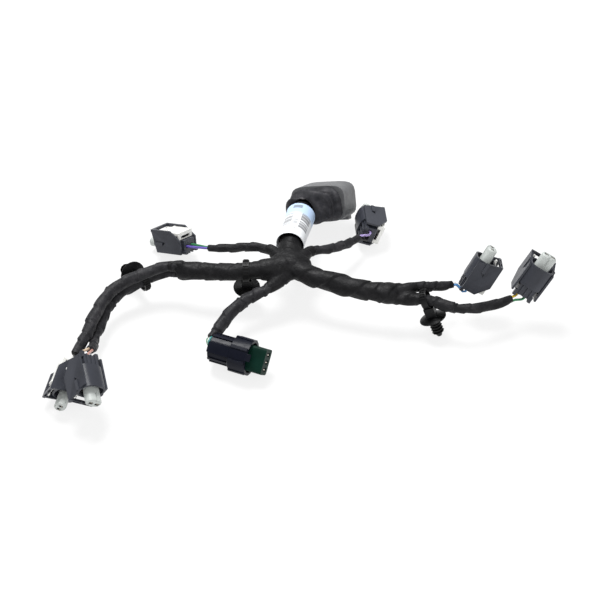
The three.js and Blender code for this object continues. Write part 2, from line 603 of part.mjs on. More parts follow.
// Main plug
function mainShell() {
  const outside = ovalPoints(MAIN_WIDTH, MAIN_HEIGHT, MAIN_SIDES, MAIN_SQUARENESS);
  const inside = ovalPoints(MAIN_WIDTH - 2 * MAIN_WALL, MAIN_HEIGHT - 2 * MAIN_WALL, MAIN_SIDES,
    MAIN_SQUARENESS);
  let body = prismX(outside, 0, MAIN_DEPTH);
  body = body.add(block(MAIN_DEPTH - TAB_LENGTH, MAIN_DEPTH, -TAB_AT - TAB_WIDTH / 2, -TAB_AT + TAB_WIDTH / 2,
    -MAIN_HEIGHT / 2 - TAB_THICKNESS, -MAIN_HEIGHT / 2 + MAIN_WALL));
  body = body.subtract(prismX(inside, MAIN_REAR_WALL, MAIN_DEPTH + CUT));
  return pieceMesh('main_plug_shell', body, FINISHES.shell);
}

function mainBlock() {
  const width = MAIN_WIDTH - 2 * (MAIN_WALL + GAP);
  const height = MAIN_HEIGHT - 2 * (MAIN_WALL + GAP);
  const rear = MAIN_REAR_WALL + GAP;
  const front = rear + BLOCK_DEPTH;
  let body = prismX(ovalPoints(width, height, MAIN_SIDES, MAIN_SQUARENESS), rear, front);
  for (let row = 0; row < BLOCK_ROWS; row += 1) {
    for (let column = 0; column < BLOCK_COLUMNS; column += 1) {
      const z = (row - (BLOCK_ROWS - 1) / 2) * BLOCK_ROW_PITCH;
      const y = (column - (BLOCK_COLUMNS - 1) / 2) * BLOCK_PITCH;
      body = body.subtract(block(front - BLOCK_POCKET_DEPTH, front + CUT, y - BLOCK_POCKET / 2,
        y + BLOCK_POCKET / 2, z - BLOCK_POCKET / 2, z + BLOCK_POCKET / 2));
    }
  }
  return pieceMesh('main_plug_contact_block', body, FINISHES.black);
}

// Looms
function mainLoom(grow) {
  const lump = new THREE.SphereGeometry(0.5, JUNCTION_SIDES, JUNCTION_SIDES / 2);
  lump.scale(...JUNCTION_SIZE.map((size) => size + 2 * grow));
  lump.translate(...JUNCTION_AT);
  const left = tube(lengthened(LEFT_TRUNK, grow), LEFT_TRUNK_DIAMETER + 2 * grow, 10);
  const shoulder = tube(lengthened(LEFT_SHOULDER, grow), LEFT_SHOULDER_DIAMETER + 2 * grow, 3);
  const right = tube(lengthened(RIGHT_TRUNK, grow), RIGHT_TRUNK_DIAMETER + 2 * grow, 10);
  const stub = tube(lengthened(MAIN_STUB, grow), STUB_DIAMETER + 2 * grow, 8);
  const stubEnd = tube(lengthened(STUB_END, grow), STUB_END_DIAMETER + 2 * grow, 6, LABEL_SIDES);
  return solid(lump).add(left).add(shoulder).add(right).add(stub).add(stubEnd);
}

function labelSleeve() {
  const outside = tube(LABEL_ROUTE, LABEL_DIAMETER, 5, LABEL_SIDES);
  const inside = tube(lengthened(LABEL_ROUTE, CUT), LABEL_DIAMETER - 2 * LABEL_WALL, 5, LABEL_SIDES);
  return outside.subtract(inside);
}

function bootSolid(frame) {
  const rings = [
    ringAt(-GAP, ovalPoints(MAIN_WIDTH - BOOT_SHRINK, MAIN_HEIGHT - BOOT_SHRINK, MAIN_SIDES, MAIN_SQUARENESS)),
    ringAt(-BOOT_LENGTH * 0.45, ovalPoints(MAIN_WIDTH - 2 * BOOT_SHRINK, MAIN_HEIGHT - BOOT_SHRINK,
      MAIN_SIDES, 3)),
    ringAt(-BOOT_LENGTH, ovalPoints(BOOT_NECK, BOOT_NECK, MAIN_SIDES, 2), BOOT_OFFSET, -BOOT_DROP),
  ];
  return hull(rings.map((ring) => ring.map((p) => vector(p).applyMatrix4(frame).toArray())));
}

// A wire from the end of a leg into a cavity at the back of a plug
function wireRoute(legRoute, frame, cavity, offset) {
  const end = vector(legRoute.at(-1));
  const along = end.clone().sub(vector(legRoute.at(-2))).normalize();
  const across = new THREE.Vector3().setFromMatrixColumn(frame, 1);
  const lift = new THREE.Vector3().setFromMatrixColumn(frame, 2);
  across.addScaledVector(along, -across.dot(along)).normalize();
  lift.addScaledVector(along, -lift.dot(along)).addScaledVector(across, -lift.dot(across)).normalize();
  const start = end.addScaledVector(along, GAP).addScaledVector(across, offset[0]);
  start.addScaledVector(lift, offset[1]);
  const bottom = new THREE.Vector3(cavity.bottom, cavity.y, cavity.z).applyMatrix4(frame);
  const mouth = new THREE.Vector3(cavity.rear, cavity.y, cavity.z).applyMatrix4(frame);
  const lead = new THREE.Vector3(cavity.rear - cavity.lead, cavity.y, cavity.z).applyMatrix4(frame);
  return [
    start.toArray(), start.clone().addScaledVector(along, WIRE_STRAIGHT).toArray(),
    lead.toArray(), mouth.toArray(), bottom.toArray(),
  ];
}

// From the middle of the junction's shadow to the middle of the outline
const SHIFT = [-3.8, 11.75, 0];

const root = new THREE.Group();
root.name = 'wiring_harness';
root.position.set(...SHIFT);

const loom = mainLoom(0);
const loomGrown = mainLoom(GAP);
root.add(pieceMesh('main_loom', loom, FINISHES.tape));
root.add(pieceMesh('label_sleeve', labelSleeve(), FINISHES.label));

for (const { name, diameter, steps, route } of LEGS) {
  const leg = tube(route, diameter, steps).subtract(loomGrown);
  root.add(pieceMesh(name, leg, FINISHES.tape));
}

function legRoute(name) {
  return LEGS.find((leg) => leg.name === name).route;
}

for (const plug of PLUGS) {
  const frame = frameOf(mouthOf(plug), plug.nose, plug.lock);
  root.add(placedGroup(frame, [
    plugHousing(plug.name), plugNose(plug.name), plugSeal(plug.name), plugLock(plug.name),
  ]));
  plug.wires.forEach((colour, i) => {
    const side = i === 0 ? 1 : -1;
    const cavity = {
      bottom: PLUG_REAR + CAVITY_DEPTH - GAP,
      rear: PLUG_REAR,
      lead: WIRE_LEAD,
      y: side * CAVITY_PITCH / 2,
      z: -REAR_DROP,
    };
    const route = wireRoute(legRoute(plug.leg), frame, cavity, [side * WIRE_PITCH / 2, 0]);
    const finish = { color: WIRE_COLOURS[colour], roughness: 0.5 };
    root.add(pieceMesh(`${plug.name}_wire_${i + 1}`, tube(route, WIRE_DIAMETER, 8, WIRE_SIDES), finish));
  });
}

const sensorFrame = frameOf(SENSOR_PLUG.at, SENSOR_PLUG.nose, SENSOR_PLUG.up);
root.add(placedGroup(sensorFrame, [sensorHousing(), sensorInsert()]));
SENSOR_WIRES.forEach((colour, i) => {
  const place = i - (SENSOR_WIRES.length - 1) / 2;
  const row = [Math.cos(SENSOR_WIRE_TURN), Math.sin(SENSOR_WIRE_TURN)];
  const cavity = {
    bottom: SENSOR_REAR + PORT_DEPTH - GAP,
    rear: SENSOR_REAR,
    lead: SENSOR_WIRE_LEAD,
    y: place * SENSOR_WIRE_PITCH * row[0],
    z: place * SENSOR_WIRE_PITCH * row[1],
  };
  const offset = row.map((value) => place * SENSOR_WIRE_START_PITCH * value);
  const route = wireRoute(legRoute('sensor_leg'), sensorFrame, cavity, offset);
  const finish = { color: WIRE_COLOURS[colour], roughness: 0.5 };
  root.add(pieceMesh(`sensor_plug_wire_${i + 1}`, tube(route, WIRE_DIAMETER, 10, WIRE_SIDES), finish));
});

const mainFrame = frameOf(MAIN_PLUG.at, MAIN_PLUG.nose, MAIN_PLUG.up);
root.add(placedGroup(mainFrame, [mainShell(), mainBlock()]));
root.add(pieceMesh('main_plug_boot', bootSolid(mainFrame).subtract(loomGrown), FINISHES.tape));

// Push-in clips
function clipBody(around, slack) {
  const inside = around / 2 + slack + GAP;
  const outside = inside + STRAP_THICKNESS;
  const ringShape = circlePoints(2 * outside, STRAP_SIDES).map((p) => [p.x, p.y]);
  const holeShape = circlePoints(2 * inside, STRAP_SIDES).map((p) => [p.x, p.y]);
  const hole = prismY(holeShape, -HEAD_WIDTH, HEAD_WIDTH);
  let body = prismY(ringShape, -STRAP_WIDTH / 2, STRAP_WIDTH / 2);
  for (let i = 0; i < STRAP_TEETH; i += 1) {
    const tooth = boxGeometry(-outside - STRAP_TOOTH_PROUD, -outside + STRAP_THICKNESS / 2,
      -STRAP_WIDTH * 0.36, STRAP_WIDTH * 0.36, -STRAP_TOOTH_WIDTH / 2, STRAP_TOOTH_WIDTH / 2);
    const turn = (i - (STRAP_TEETH - 1) / 2) * STRAP_TOOTH_TURN;
    body = body.add(solid(tooth.rotateY(THREE.MathUtils.degToRad(turn))));
  }
  const headEnd = outside + HEAD_LENGTH;
  body = body.add(block(outside - STRAP_THICKNESS * 0.3, headEnd + DISC_THICKNESS / 2, -HEAD_WIDTH / 2, HEAD_WIDTH / 2,
    -HEAD_HEIGHT / 2, HEAD_HEIGHT / 2));
  body = body.subtract(hole);
  return body.add(clipDisc(headEnd)).add(clipStud(headEnd + DISC_THICKNESS / 2));
}

function clipDisc(x) {
  const radius = DISC_DIAMETER / 2;
  return turnedX([
    [x, 0], [x, STUD_DIAMETER / 2], [x + DISC_DISH, radius], [x + DISC_DISH + DISC_THICKNESS * 0.6, radius],
    [x + DISC_THICKNESS, STUD_DIAMETER / 2], [x + DISC_THICKNESS, 0],
  ], STRAP_SIDES);
}

function clipStud(x) {
  const core = STUD_CORE / 2;
  const rib = STUD_DIAMETER / 2;
  const pitch = (STUD_LENGTH - STUD_TIP) / STUD_RIBS;
  const profile = [[x, 0], [x, core]];
  for (let i = 0; i < STUD_RIBS; i += 1) {
    const start = x + i * pitch + pitch * 0.4;
    profile.push([start, core], [start + pitch * 0.1, rib], [start + pitch * 0.4, rib - 0.3]);
    profile.push([start + pitch * 0.5, core]);
  }
  profile.push([x + STUD_LENGTH - STUD_TIP, core], [x + STUD_LENGTH - 0.6, core * 0.55], [x + STUD_LENGTH, 0]);
  return turnedX(profile, STUD_SIDES);
}

for (const { name, at, stud, along, around, slack } of CLIPS) {
  const x = vector(stud).normalize();
  const y = vector(along).addScaledVector(x, -vector(along).dot(x)).normalize();
  const frame = new THREE.Matrix4().makeBasis(x, y, x.clone().cross(y)).setPosition(...at);
  root.add(placedGroup(frame, [pieceMesh(name, clipBody(around, slack), FINISHES.black)]));
}

export default root;
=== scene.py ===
"""The looks of the wiring harness: taped looms, moulded plugs, wires, label and clips.

Metres, in the frame of the CAD model. Routes repeat the CAD model's points, in millimetres.
"""

import math

import bmesh
import bpy
import numpy as np
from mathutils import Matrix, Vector


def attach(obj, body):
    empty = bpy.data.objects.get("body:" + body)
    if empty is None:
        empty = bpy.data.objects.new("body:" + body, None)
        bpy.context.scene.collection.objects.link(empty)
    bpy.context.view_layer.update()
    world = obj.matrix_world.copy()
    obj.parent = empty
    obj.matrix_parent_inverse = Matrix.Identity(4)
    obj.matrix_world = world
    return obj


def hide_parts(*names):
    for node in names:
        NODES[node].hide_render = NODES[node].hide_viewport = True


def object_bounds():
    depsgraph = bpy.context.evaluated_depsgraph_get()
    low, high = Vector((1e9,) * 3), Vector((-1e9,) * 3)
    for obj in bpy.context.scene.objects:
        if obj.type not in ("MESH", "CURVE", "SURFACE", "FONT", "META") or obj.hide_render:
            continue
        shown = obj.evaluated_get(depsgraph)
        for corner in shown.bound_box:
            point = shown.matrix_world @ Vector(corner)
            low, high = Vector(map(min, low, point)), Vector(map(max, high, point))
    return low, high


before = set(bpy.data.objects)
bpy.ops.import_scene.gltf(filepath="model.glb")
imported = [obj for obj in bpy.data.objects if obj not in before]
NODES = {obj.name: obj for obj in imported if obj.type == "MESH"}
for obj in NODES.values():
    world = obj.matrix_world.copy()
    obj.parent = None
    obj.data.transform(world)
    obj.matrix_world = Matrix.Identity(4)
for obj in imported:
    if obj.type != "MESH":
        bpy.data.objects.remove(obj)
cad_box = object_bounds()
BODY = "harness"
MM = 0.001

# From the junction's shadow, where the routes are measured from, to the model's origin
SHIFT = np.array([-3.8, 11.75, 0.0])

# Camera: the photograph's viewing angle, with the junction's shadow near the middle of the view
CAMERA_DISTANCE = 1.08
CAMERA_ELEVATION = math.radians(41)
CAMERA_FIELD = math.radians(24.75)
CAMERA_SHIFT = -1 / 600


def make_camera():
    target = Vector(SHIFT * MM)
    offset = Vector((0, -math.cos(CAMERA_ELEVATION), math.sin(CAMERA_ELEVATION)))
    data = bpy.data.cameras.new("camera")
    data.angle = CAMERA_FIELD
    data.shift_x = CAMERA_SHIFT
    data.clip_end = 20
    camera = bpy.data.objects.new("camera", data)
    camera.location = target + offset * CAMERA_DISTANCE
    camera.rotation_euler = (math.pi / 2 - CAMERA_ELEVATION, 0, 0)
    bpy.context.collection.objects.link(camera)
    bpy.context.scene.camera = camera
    bpy.context.scene.view_settings.view_transform = "Standard"


make_camera()


# Curves and tubes


def curve_through(points, step):
    """Points every step along the centripetal curve through these points, and its length."""
    p = [np.array(q, float) for q in points]
    p = [2 * p[0] - p[1]] + p + [2 * p[-1] - p[-2]]
    out = []
    for i in range(1, len(p) - 2):
        a, b, c, d = p[i - 1], p[i], p[i + 1], p[i + 2]
        ta = 0.0
        tb = ta + math.sqrt(np.linalg.norm(b - a))
        tc = tb + math.sqrt(np.linalg.norm(c - b))
        td = tc + math.sqrt(np.linalg.norm(d - c))
        for t in np.linspace(tb, tc, 24, endpoint=False):
            ab = (tb - t) / (tb - ta) * a + (t - ta) / (tb - ta) * b
            bc = (tc - t) / (tc - tb) * b + (t - tb) / (tc - tb) * c
            cd = (td - t) / (td - tc) * c + (t - tc) / (td - tc) * d
            abc = (tc - t) / (tc - ta) * ab + (t - ta) / (tc - ta) * bc
            bcd = (td - t) / (td - tb) * bc + (t - tb) / (td - tb) * cd
            out.append((tc - t) / (tc - tb) * abc + (t - tb) / (tc - tb) * bcd)
    out.append(p[-2])
    out = np.array(out)
    run = np.concatenate([[0], np.cumsum(np.linalg.norm(np.diff(out, axis=0), axis=1))])
    count = max(2, int(round(run[-1] / step)) + 1)
    at = np.linspace(0, run[-1], count)
    line = np.stack([np.interp(at, run, out[:, k]) for k in range(3)], axis=1)
    return line, at


def frames_along(line):
    """Two directions across the line at each point, carried along without twist."""
    tangent = np.gradient(line, axis=0)
    tangent /= np.linalg.norm(tangent, axis=1)[:, None]
    first = np.cross([0, 0, 1], tangent[0])
    first /= np.linalg.norm(first)
    across = [first]
    for t in tangent[1:]:
        v = across[-1] - t * np.dot(across[-1], t)
        across.append(v / np.linalg.norm(v))
    across = np.array(across)
    return tangent, across, np.cross(tangent, across)


def new_object(name, verts, faces, material=None, smooth=True):
    mesh = bpy.data.meshes.new(name)
    mesh.from_pydata([tuple(v) for v in verts], [], faces)
    mesh.validate()
    if smooth:
        mesh.shade_smooth()
    if material:
        mesh.materials.append(material)
    obj = bpy.data.objects.new(name, mesh)
    bpy.context.collection.objects.link(obj)
    return obj


def tube_shape(line, radius, sides, closed=True):
    """Vertices and faces of a tube; radius is an array of rings by sides, in millimetres."""
    tangent, across, lift = frames_along(line)
    angle = np.linspace(0, 2 * np.pi, sides, endpoint=False)
    ring = (np.cos(angle)[None, :, None] * across[:, None, :]
            + np.sin(angle)[None, :, None] * lift[:, None, :])
    verts = line[:, None, :] + ring * radius[:, :, None]
    count = len(line)
    faces = []
    for i in range(count - 1):
        for j in range(sides):
            k = (j + 1) % sides
            faces.append((i * sides + j, i * sides + k, (i + 1) * sides + k, (i + 1) * sides + j))
    verts = verts.reshape(-1, 3)
    if closed:
        verts = np.concatenate([verts, line[:1], line[-1:]])
        start, end = len(verts) - 2, len(verts) - 1
        for j in range(sides):
            k = (j + 1) % sides
            faces.append((start, k, j))
            faces.append((end, (count - 1) * sides + j, (count - 1) * sides + k))
    return verts, faces


def noise_of(number, seed):
    """A repeatable pseudo-random value from 0 to 1 for each whole number."""
    value = np.sin(number * 12.9898 + seed * 78.233) * 43758.5453
    return value - np.floor(value)


def wave(x, seed):
    """Smooth wandering value, about -1 to 1."""
    return (0.5 * np.sin(x + seed) + 0.3 * np.sin(1.7 * x + 2.3 * seed)
            + 0.2 * np.sin(3.1 * x + 4.1 * seed))


# Tape: one edge for each turn, a slow rise to it and a short drop behind it
TAPE_DROP = 0.07  # share of the pitch that the drop takes
TAPE_LUMP = 0.5
TAPE_WANDER = 0.5
EDGE_RIPPLE = 0.07


def tape_height(s, theta, seed, pitch, step, slant=1):
    """Height at a length along and an angle around; slant is the number of pitches in a turn."""
    turn = theta / (2 * np.pi)
    phase = s / pitch + slant * turn + TAPE_WANDER * wave(s / 17, seed)
    phase = phase + EDGE_RIPPLE * wave(2 * theta + s / 9, seed + 2)
    whole = np.floor(phase)
    part = phase - whole
    amount = step * (0.45 + 0.9 * noise_of(whole, seed))
    rise = np.where(part < 1 - TAPE_DROP, part / (1 - TAPE_DROP), (1 - part) / TAPE_DROP)
    lump = TAPE_LUMP * wave(s / 6.5 + 1.3 * np.sin(theta), seed + 5)
    lump = lump + 0.22 * np.sin(2 * theta + s / 11 + seed)
    lump = lump + 0.12 * np.sin(5 * theta - s / 4 + seed)
    return amount * (rise - 0.5) + lump


# Routes of the taped looms, from the CAD model
LEFT_TRUNK = [[-8, 0, 35], [-24, -4.5, 35], [-37.5, -6, 35], [-53, -6, 34], [-68.5, -4, 32.5],
              [-84.5, -1.5, 31], [-95.5, 0.5, 30]]
LEFT_SHOULDER = [[-12, -1.5, 35], [-22, -4, 35], [-31, -5.4, 35]]
RIGHT_TRUNK = [[-9, -1, 35], [8.5, -11, 34], [22, -16.5, 33], [33.5, -20.5, 32],
               [46.5, -24, 31.5], [60, -26.5, 31], [69, -27.8, 30.5], [77, -28.8, 30.4]]
MAIN_STUB = [[-8, 2, 35], [-8.5, 15, 34.5], [-8.5, 27, 34], [-5.9, 43, 32.2], [-4.4, 52, 31]]
STUB_END = [[-5.3, 46, 31.9], [-2, 63.5, 29.5], [0.6, 78, 27.3], [2.4, 84, 26.3]]
LABEL_ROUTE = [[-8.5, 27, 34], [-5.5, 45, 32], [-2, 63.5, 29.5], [-0.5, 72.2, 28.2]]

# Leg: diameter, plug it ends in, route
LEGS = {
    "rear_left_leg": (6.8, "rear_left_plug", [
        [-13, 4.5, 35], [-18, 14, 33.5], [-24.5, 23, 32], [-31, 28, 30.5], [-43, 31.5, 28],
        [-55, 34, 25.5], [-66.5, 36.5, 23], [-74, 39.2, 21.4]]),
    "rear_right_leg": (6.6, "rear_right_plug", [
        [-2.5, 5, 35], [5.5, 19.5, 32], [15, 26.5, 29], [27, 35, 25], [37.5, 46, 20.5],
        [45.5, 56, 17], [47, 58.2, 16.3]]),
    "sensor_leg": (7.6, "sensor_plug", [
        [-9, -3, 34], [-16, -12, 31], [-25.5, -18.5, 28], [-35, -23.5, 25.5], [-45, -29, 23],
        [-52.5, -37.5, 20.5], [-58, -45.5, 18.5], [-63, -54, 17], [-67.6, -60.6, 15.7]]),
    "front_outer_leg": (8.0, "front_outer_plug", [
        [-91, 0.5, 34.3], [-101.5, 1.5, 33.2], [-112, 1, 31], [-121, -2.5, 29.8],
        [-132, -8, 27.7], [-143.5, -16.5, 25.8], [-151, -29, 24], [-156, -45.5, 22.5],
        [-159.5, -61.5, 21], [-163.6, -76.5, 20], [-166, -83.5, 19.6]]),
    "front_inner_leg": (7.0, "front_inner_plug", [
        [-91, 3.3, 26.6], [-101.5, 4.3, 25.2], [-112, 4, 22.3], [-120.5, 1.9, 19.6],
        [-130.5, -5, 18.9], [-140.9, -13.1, 17.6], [-147.6, -24.7, 16], [-151.9, -40.7, 14.6],
        [-154.6, -57, 13.7], [-154.6, -65, 14.6], [-153.4, -74, 18.6], [-152.8, -83, 25.5],
        [-152.6, -90.5, 31.2]]),
    "right_inner_leg": (6.8, "right_inner_plug", [
        [66, -26, 32.4], [75, -25.6, 32.6], [84, -22.8, 32.5], [99.5, -19.5, 30.5],
        [110, -16.4, 29], [116.5, -14.2, 28.4]]),
    "right_outer_leg": (7.2, "right_outer_plug", [
        [68, -29, 28.6], [76, -30.8, 27.9], [85, -32.9, 29.8], [94, -34.6, 30.5],
        [105, -37.2, 29.2], [116, -41, 27.5], [127, -41, 27], [140, -38, 26.5],
        [149.5, -34.5, 26.5], [156, -31.5, 26.8], [160, -29.9, 27]]),
}


# Materials


class Recipe:
    """A node material built step by step."""

    def __init__(self, name, color, roughness):
        self.material = bpy.data.materials.new(name)
        self.material.use_nodes = True
        self.nodes = self.material.node_tree.nodes
        self.links = self.material.node_tree.links
        self.shader = self.nodes["Principled BSDF"]
        self.shader.inputs["Base Color"].default_value = (*color, 1)
        self.shader.inputs["Roughness"].default_value = roughness
        self.place = self.nodes.new("ShaderNodeTexCoord").outputs["Object"]
        self.material.diffuse_color = (*color, 1)

    def noise(self, scale, detail=3.0, roughness=0.5, stretch=None):
        node = self.nodes.new("ShaderNodeTexNoise")
        node.inputs["Scale"].default_value = scale
        node.inputs["Detail"].default_value = detail
        node.inputs["Roughness"].default_value = roughness
        place = self.place
        if stretch:
            mapping = self.nodes.new("ShaderNodeMapping")
            mapping.inputs["Scale"].default_value = stretch
            self.links.new(place, mapping.inputs["Vector"])
            place = mapping.outputs["Vector"]
        self.links.new(place, node.inputs["Vector"])
        return node.outputs["Fac"]

    def ramp(self, value, stops):
        node = self.nodes.new("ShaderNodeValToRGB")
        while len(node.color_ramp.elements) < len(stops):
            node.color_ramp.elements.new(0.5)
        for element, (at, color) in zip(node.color_ramp.elements, stops):
            element.position = at
            element.color = (*color, 1)
        self.links.new(value, node.inputs["Fac"])
        return node.outputs["Color"]

    def range(self, value, low, high, start=0.3, end=0.7):
        node = self.nodes.new("ShaderNodeMapRange")
        node.inputs["From Min"].default_value = start
        node.inputs["From Max"].default_value = end
        node.inputs["To Min"].default_value = low
        node.inputs["To Max"].default_value = high
        self.links.new(value, node.inputs["Value"])
        return node.outputs["Result"]

    def math(self, kind, first, second):
        node = self.nodes.new("ShaderNodeMath")
        node.operation = kind
        for socket, value in zip(node.inputs, (first, second)):
            if isinstance(value, (int, float)):
                socket.default_value = value
            else:
                self.links.new(value, socket)
        return node.outputs[0]

    def mix(self, amount, first, second):
        node = self.nodes.new("ShaderNodeMix")
        node.data_type = "RGBA"
        for socket, value in ((node.inputs["Factor"], amount), (node.inputs[6], first),
                              (node.inputs[7], second)):
            if isinstance(value, tuple):
                socket.default_value = (*value, 1)
            else:
                self.links.new(value, socket)
        return node.outputs[2]

    def color(self, value):
        self.links.new(value, self.shader.inputs["Base Color"])

    def roughness(self, value):
        self.links.new(value, self.shader.inputs["Roughness"])

    def bump(self, value, distance, strength=1.0):
        node = self.nodes.new("ShaderNodeBump")
        node.inputs["Strength"].default_value = strength
        node.inputs["Distance"].default_value = distance
        self.links.new(value, node.inputs["Height"])
        self.links.new(node.outputs["Normal"], self.shader.inputs["Normal"])


def plastic(name, color, roughness, variation=0.12, grain=0.00003, specular=0.5):
    """Moulded plastic: a faint grain, slight clouds of tone and a painted highlight that makes the
    edges lighter.
    """
    recipe = Recipe(name, color, roughness)
    recipe.shader.inputs["Specular IOR Level"].default_value = specular
    low = tuple(c * (1 - variation) for c in color)
    high = tuple(min(1, c * (1 + variation)) for c in color)
    clouds = recipe.ramp(recipe.noise(90), [(0.35, low), (0.65, high)])
    # Painted highlight: edges found by Pointiness get a lighter colour
    geometry = recipe.nodes.new("ShaderNodeNewGeometry")
    edge = recipe.range(geometry.outputs["Pointiness"], 0, 0.35, 0.52, 0.62)
    edge_highlight = tuple(min(1, c * 1.7 + 0.02) for c in color)
    recipe.color(recipe.mix(edge, clouds, edge_highlight))
    recipe.roughness(recipe.range(recipe.noise(260, 4), roughness * 0.85, roughness * 1.15))
    recipe.bump(recipe.noise(2400, 2), grain)
    return recipe.material


def tape_material(name, tone=1.0):
    """Matte tape: fine creases, faint shine and dusty patches; a higher tone is paler."""
    recipe = Recipe(name, (0.008 * tone, 0.008 * tone, 0.009 * tone), 0.5)
    recipe.shader.inputs["Specular IOR Level"].default_value = 0.17
    stops = [(0.3, (0.003, 0.003, 0.0035)), (0.55, (0.007, 0.007, 0.008)),
             (0.8, (0.016, 0.015, 0.016))]
    recipe.color(recipe.ramp(recipe.noise(140, 5, 0.6), [
        (at, tuple(c * tone for c in color)) for at, color in stops]))
    recipe.roughness(recipe.range(recipe.noise(420, 4), 0.42, 0.62))
    creases = recipe.noise(330, 6, 0.62)
    fine = recipe.noise(1500, 2)
    recipe.bump(recipe.math("ADD", creases, recipe.math("MULTIPLY", fine, 0.18)), 0.0006, 0.8)
    return recipe.material


def wire_material(name, color):
    recipe = Recipe(name, color, 0.38)
    dark = tuple(c * 0.75 for c in color)
    recipe.color(recipe.ramp(recipe.noise(500), [(0.35, dark), (0.6, color)]))
    recipe.bump(recipe.noise(1800, 2), 0.00004)
    return recipe.material


def seal_material():
    recipe = Recipe("seal_rubber", (0.16, 0.035, 0.02), 0.6)
    recipe.color(recipe.ramp(recipe.noise(300), [
        (0.3, (0.11, 0.025, 0.015)), (0.7, (0.2, 0.05, 0.03))]))
    recipe.bump(recipe.noise(1500, 2), 0.00005)
    return recipe.material


TAPE = tape_material("tape")
# The boot's tape is a much paler copy of the same tape: painted light, for the stronger light on
# the boot
LIT_BOOT_TAPE = tape_material("boot_tape", 4.6)
PALE_TAPE = tape_material("tape_pale", 2.7)
MIDDLE_TAPE = tape_material("tape_middle", 1.8)
# Near-black for the plates that paint the shade inside the contact slots
SLOT_SHADE = plastic("painted_slot_shade", (0.004, 0.004, 0.004), 0.6, specular=0.1)
HOUSING = plastic("housing_plastic", (0.0275, 0.0298, 0.0385), 0.36, specular=0.3)
NOSE = plastic("nose_plastic", (0.42, 0.445, 0.43), 0.45, 0.05)
LOCK = plastic("lock_plastic", (0.72, 0.72, 0.69), 0.42, 0.03)
CLIP = plastic("clip_plastic", (0.003, 0.003, 0.0035), 0.4, specular=0.2)
ROUND = plastic("round_plastic", (0.004, 0.005, 0.011), 0.34, 0.1, 0.00002, 0.12)
INSERT = plastic("insert_plastic", (0.001, 0.017, 0.011), 0.5, specular=0.08)
SHELL = plastic("shell_plastic", (0.096, 0.098, 0.103), 0.5, 0.1, 0.00006)
BLOCK = plastic("block_plastic", (0.015, 0.015, 0.016), 0.5)
METAL = plastic("contact_metal", (0.55, 0.5, 0.42), 0.3, 0.05)
METAL.node_tree.nodes["Principled BSDF"].inputs["Metallic"].default_value = 0.9
SEAL = seal_material()
WIRES = {
    "green": wire_material("wire_green", (0.04, 0.22, 0.09)),
    "violet": wire_material("wire_violet", (0.13, 0.09, 0.42)),
    "lilac": wire_material("wire_lilac", (0.36, 0.28, 0.56)),
    "black": wire_material("wire_black", (0.012, 0.012, 0.013)),
    "beige": wire_material("wire_beige", (0.58, 0.44, 0.3)),
    "pink": wire_material("wire_pink", (0.46, 0.24, 0.2)),
    "blue": wire_material("wire_blue", (0.05, 0.22, 0.5)),
    "white": wire_material("wire_white", (0.72, 0.72, 0.7)),
    "yellow": wire_material("wire_yellow", (0.72, 0.5, 0.02)),
    "teal": wire_material("wire_teal", (0.03, 0.25, 0.24)),
}
WIRE_ORDER = {
    "rear_left_plug": ("violet", "green"),
    "rear_right_plug": ("lilac", "black"),
    "front_outer_plug": ("black", "white"),
    "front_inner_plug": ("beige", "pink"),
    "right_inner_plug": ("blue", "white"),
    "right_outer_plug": ("green", "yellow"),
    "sensor_plug": ("green", "white", "teal"),
}


# Legs: taped cords

LEG_SIDES = 36
LEG_STEP = 0.7
LEG_TAPE_LAYER = 0.15
LEG_TAPE_PITCH = 14
LEG_TAPE_STEP = 0.9
LEG_TAPE_SHARE = 0.85
LEG_END_TAPER = 9.0
LEG_END_NARROWING = 0.24
LEG_EDGE_ANGLE = math.radians(62)
MIDDLE_LEGS = ("rear_left_leg", "right_inner_leg", "right_outer_leg")

# Stretches with an extra layer of tape: start and end along the leg, and how much thicker
EXTRA_TAPE = {
    "front_outer_leg": [(30, 62, 0.35), (60, 96, 0.6)],
    "front_inner_leg": [(34, 68, 0.6), (66, 100, 0.8)],
    "sensor_leg": [(27, 47, 0.55), (45, 80, 0.85)],
    "right_outer_leg": [(34, 50.5, 0.95)],
    "right_inner_leg": [(18, 33, 0.35)],
    "rear_right_leg": [(50, 64, 0.35)],
}


def extra_tape(name, s):
    """How much thicker the leg is where another layer of tape lies on it."""
    more = np.zeros_like(s)
    for start, end, amount in EXTRA_TAPE.get(name, []):
        more += amount * np.clip((s - start) / 0.7, 0, 1) * np.clip((end - s) / 0.7, 0, 1)
    return more


def make_leg(name, number):
    diameter, plug, route = LEGS[name]
    line, s = curve_through(route, LEG_STEP)
    angle = np.linspace(0, 2 * np.pi, LEG_SIDES, endpoint=False)
    grid_s, grid_a = np.meshgrid(s, angle, indexing="ij")
    turns = tape_height(grid_s, grid_a, number * 1.7 + 1, LEG_TAPE_PITCH, LEG_TAPE_STEP)
    radius = diameter / 2 + LEG_TAPE_LAYER + turns * LEG_TAPE_SHARE
    radius += extra_tape(name, grid_s + 1.2 * np.sin(grid_a + number))
    left = s[-1] - grid_s
    radius *= 1 - LEG_END_NARROWING * np.clip(1 - left / LEG_END_TAPER, 0, 1)
    verts, faces = tube_shape(line + SHIFT, radius, LEG_SIDES)
    material = MIDDLE_TAPE if name in MIDDLE_LEGS else PALE_TAPE
    leg = new_object(name + "_taped", verts * MM, faces, material)
    leg.data.set_sharp_from_angle(angle=LEG_EDGE_ANGLE)
    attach(leg, BODY)
    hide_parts(name)


for number, leg_name in enumerate(LEGS):
    make_leg(leg_name, number)


# Main loom: the trunks, the stub and the leg roots melted into one taped body

LOOM_VOXEL = 0.9 * MM
LOOM_SIDES = 24
LOOM_SMOOTHING = 6
LOOM_TAPE_STEP = 1.25
LOOM_TAPE_SLANT = 2


